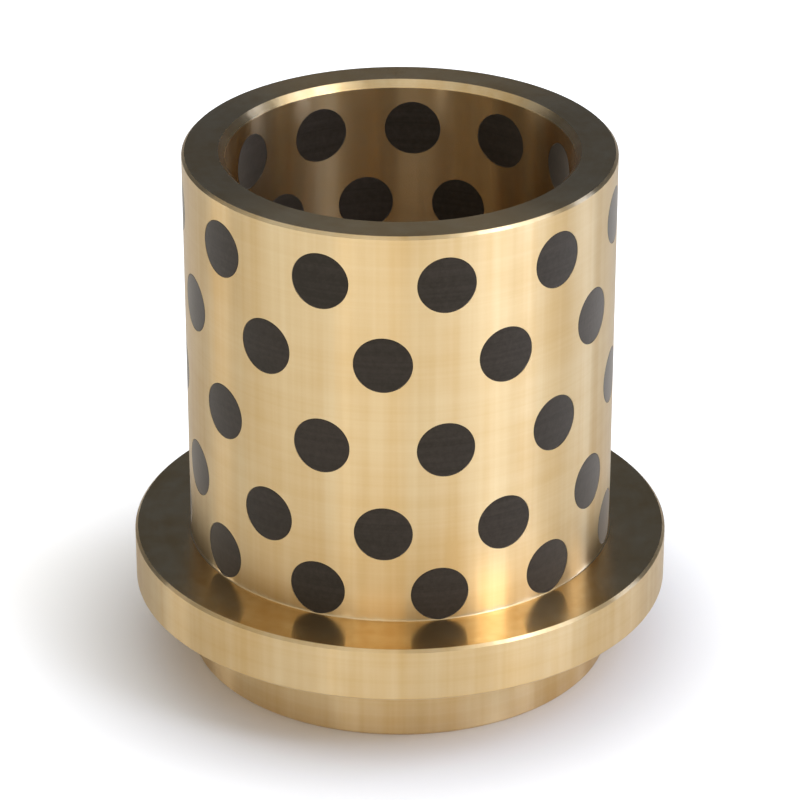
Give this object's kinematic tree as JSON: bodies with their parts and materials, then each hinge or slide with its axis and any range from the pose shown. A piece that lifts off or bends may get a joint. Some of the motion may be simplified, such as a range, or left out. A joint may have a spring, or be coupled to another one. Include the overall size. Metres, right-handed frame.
{
  "type": "graphite plugged bushing",
  "caption": "Flanged guide bushing: a bronze sleeve with a straight bore, shoulder flange and short spigot, and flush round graphite plugs through its wall for dry lubrication.",
  "frame": {"origin": "on the axis, in the spigot's end face that it stands on", "axes": "+Z along the bore axis, from the spigot through the flange to the long sleeve's top; -Y towards the picture's camera"},
  "size_m": [0.095, 0.095, 0.095],
  "materials": {
    "bronze": "fine turned, bright",
    "graphite": "matte, turned flush"
  },
  "bodies": {
    "root": {"bronze_body": "bronze", "plug_ring1_01": "graphite", "plug_ring1_02": "graphite", "plug_ring1_03": "graphite", "plug_ring1_04": "graphite", "plug_ring1_05": "graphite", "plug_ring1_06": "graphite", "plug_ring1_07": "graphite", "plug_ring1_08": "graphite", "plug_ring1_09": "graphite", "plug_ring1_10": "graphite", "plug_ring1_11": "graphite", "plug_ring2_01": "graphite", "plug_ring2_02": "graphite", "plug_ring2_03": "graphite", "plug_ring2_04": "graphite", "plug_ring2_05": "graphite", "plug_ring2_06": "graphite", "plug_ring2_07": "graphite", "plug_ring2_08": "graphite", "plug_ring2_09": "graphite", "plug_ring2_10": "graphite", "plug_ring2_11": "graphite", "plug_ring3_01": "graphite", "plug_ring3_02": "graphite", "plug_ring3_03": "graphite", "plug_ring3_04": "graphite", "plug_ring3_05": "graphite", "plug_ring3_06": "graphite", "plug_ring3_07": "graphite", "plug_ring3_08": "graphite", "plug_ring3_09": "graphite", "plug_ring3_10": "graphite", "plug_ring3_11": "graphite", "plug_ring4_01": "graphite", "plug_ring4_02": "graphite", "plug_ring4_03": "graphite", "plug_ring4_04": "graphite", "plug_ring4_05": "graphite", "plug_ring4_06": "graphite", "plug_ring4_07": "graphite", "plug_ring4_08": "graphite", "plug_ring4_09": "graphite", "plug_ring4_10": "graphite", "plug_ring4_11": "graphite", "plug_ring5_01": "graphite", "plug_ring5_02": "graphite", "plug_ring5_03": "graphite", "plug_ring5_04": "graphite", "plug_ring5_05": "graphite", "plug_ring5_06": "graphite", "plug_ring5_07": "graphite", "plug_ring5_08": "graphite", "plug_ring5_09": "graphite", "plug_ring5_10": "graphite", "plug_ring5_11": "graphite"}
  },
  "joints": []
}
